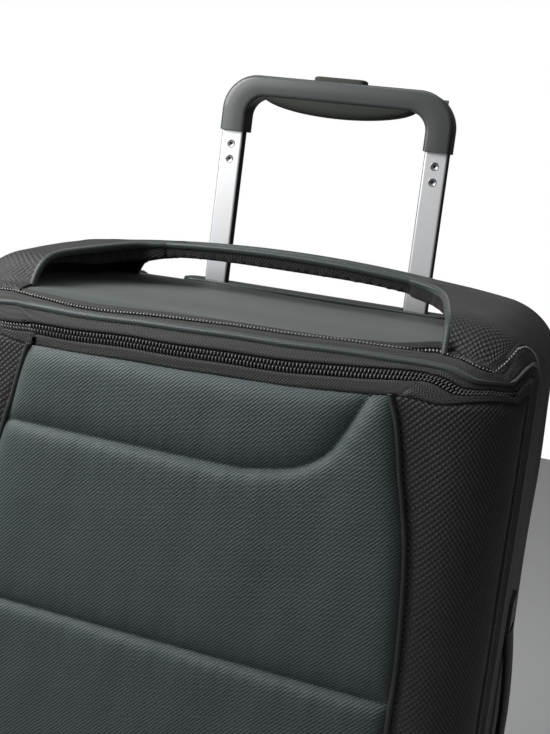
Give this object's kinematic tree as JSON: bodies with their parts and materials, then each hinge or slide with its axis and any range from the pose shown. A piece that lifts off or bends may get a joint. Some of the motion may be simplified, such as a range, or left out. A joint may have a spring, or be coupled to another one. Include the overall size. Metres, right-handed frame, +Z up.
{
  "type": "softside upright suitcase",
  "caption": "Large expandable softside upright suitcase with a zipped hinged lid, a two-stage push-button trolley handle, soft carry handles and two rear wheels.",
  "frame": {"origin": "on the floor, under the middle of the case's overall box", "axes": "+Z up along the trolley tubes, lid faces -Y, wheels and back panel at +Y, +X to the right seen from the lid"},
  "size_m": [0.512, 0.31, 0.9545],
  "materials": {
    "weave": "padded ballistic weave, near-black olive",
    "twill": "quilted teal-green twill",
    "smooth": "coated smooth fabric, matt olive grey",
    "tape": "herringbone zipper tape and coil",
    "binding": "twill piping",
    "lining": "plain woven polyester lining",
    "webbing": "woven webbing",
    "board": "fibre-filled plastic board",
    "moulded": "moulded satin plastic, dark grey",
    "gloss_moulded": "polished moulded plastic",
    "tube": "brushed and clear anodised aluminium",
    "steel": "plain steel",
    "soft_grip": "soft-touch moulded grip",
    "tyre": "matt wheel tyre",
    "zipper_metal": "dark plated zipper metal"
  },
  "bodies": {
    "root": {"side_panel_left": "weave", "side_panel_right": "weave", "top_panel": "smooth", "bottom_panel": "weave", "back_panel": "board", "rear_hoop": "steel", "rear_lining": "lining", "expansion_gusset": "lining", "expander_zipper_rear": "tape", "trolley_bezel": "gloss_moulded", "outer_tube_left": "tube", "outer_tube_right": "tube", "tube_bracket": "moulded", "top_handle": "weave", "side_handle": "weave", "side_handle_anchors": "moulded", "side_studs": "moulded", "wheel_housing_left": "moulded", "wheel_housing_right": "moulded", "wheel_axles": "steel", "housing_screws": "steel", "front_feet": "moulded", "kick_plate": "moulded", "packing_straps": "webbing", "strap_buckle": "moulded"},
    "mid_stage": {"mid_tube_left": "tube", "mid_tube_right": "tube", "mid_collars": "moulded"},
    "upper_stage": {"inner_tube_left": "tube", "inner_tube_right": "tube", "grip_front": "moulded", "grip_rear": "moulded", "grip_insert": "soft_grip", "grip_screws": "steel", "lock_housings": "moulded", "return_springs": "steel"},
    "button": {"push_button": "moulded", "push_rods": "steel"},
    "lock_left": {"lock_pin_left": "steel"},
    "lock_right": {"lock_pin_right": "steel"},
    "wheel_left": {"wheel_tyre_left": "tyre", "wheel_hub_left": "moulded", "wheel_bearings_left": "steel"},
    "wheel_right": {"wheel_tyre_right": "tyre", "wheel_hub_right": "moulded", "wheel_bearings_right": "steel"},
    "front_section": {"front_ring": "tape", "front_hoop": "steel", "expander_zipper_front": "tape", "main_zipper_rear": "tape"},
    "lid": {"lid_centre_panel": "twill", "lid_corner_left": "weave", "lid_corner_right": "weave", "lid_board": "board", "lid_lining": "lining", "main_zipper_front": "tape"},
    "slider_upper_body": {"slider_upper": "zipper_metal"},
    "slider_lower_body": {"slider_lower": "zipper_metal"},
    "pull_tab_upper_body": {"pull_tab_upper": "zipper_metal"},
    "pull_tab_lower_body": {"pull_tab_lower": "zipper_metal"}
  },
  "joints": [
    {"name": "trolley_lower_slide", "type": "slide", "parent": "root", "child": "mid_stage", "axis": [0, 0, 1], "range_m": [0, 0.15]},
    {"name": "trolley_upper_slide", "type": "slide", "parent": "mid_stage", "child": "upper_stage", "axis": [0, 0, 1], "range_m": [-0.154, 0]},
    {"name": "button_press", "type": "slide", "parent": "upper_stage", "child": "button", "axis": [0, 0, -1], "range_m": [0, 0.004], "stiffness_N_per_m": 900, "springref_m": -0.002, "deforming": ["return_springs"]},
    {"name": "lock_pin_left_slide", "type": "slide", "parent": "upper_stage", "child": "lock_left", "axis": [1, 0, 0], "range_m": [0, 0.002]},
    {"name": "lock_pin_right_slide", "type": "slide", "parent": "upper_stage", "child": "lock_right", "axis": [-1, 0, 0], "range_m": [0, 0.002]},
    {"name": "wheel_left_spin", "type": "hinge", "parent": "root", "child": "wheel_left", "pos_m": [-0.205, 0.121, 0.033], "axis": [1, 0, 0], "continuous": true},
    {"name": "wheel_right_spin", "type": "hinge", "parent": "root", "child": "wheel_right", "pos_m": [0.205, 0.121, 0.033], "axis": [1, 0, 0], "continuous": true},
    {"name": "expansion_slide", "type": "slide", "parent": "root", "child": "front_section", "axis": [0, -1, 0], "range_m": [0, 0.035]},
    {"name": "lid_hinge", "type": "hinge", "parent": "front_section", "child": "lid", "pos_m": [-0.2425, -0.092, 0.3795], "axis": [0, 0, -1], "range_deg": [0, 115]},
    {"name": "zipper_upper_slide", "type": "slide", "parent": "front_section", "child": "slider_upper_body", "axis": [0, 0, 1], "range_m": [0, 0.2]},
    {"name": "zipper_lower_slide", "type": "slide", "parent": "front_section", "child": "slider_lower_body", "axis": [0, 0, -1], "range_m": [0, 0.24]},
    {"name": "pull_tab_upper_swing", "type": "hinge", "parent": "slider_upper_body", "child": "pull_tab_upper_body", "pos_m": [0.2497, -0.092, 0.428], "axis": [0, -1, 0], "range_deg": [0, 150]},
    {"name": "pull_tab_lower_swing", "type": "hinge", "parent": "slider_lower_body", "child": "pull_tab_lower_body", "pos_m": [0.2497, -0.092, 0.392], "axis": [0, -1, 0], "range_deg": [0, 150]}
  ],
  "couplings": [
    {"joint": "lock_pin_left_slide", "follows": "button_press", "ratio": 0.5},
    {"joint": "lock_pin_right_slide", "follows": "button_press", "ratio": 0.5}
  ]
}
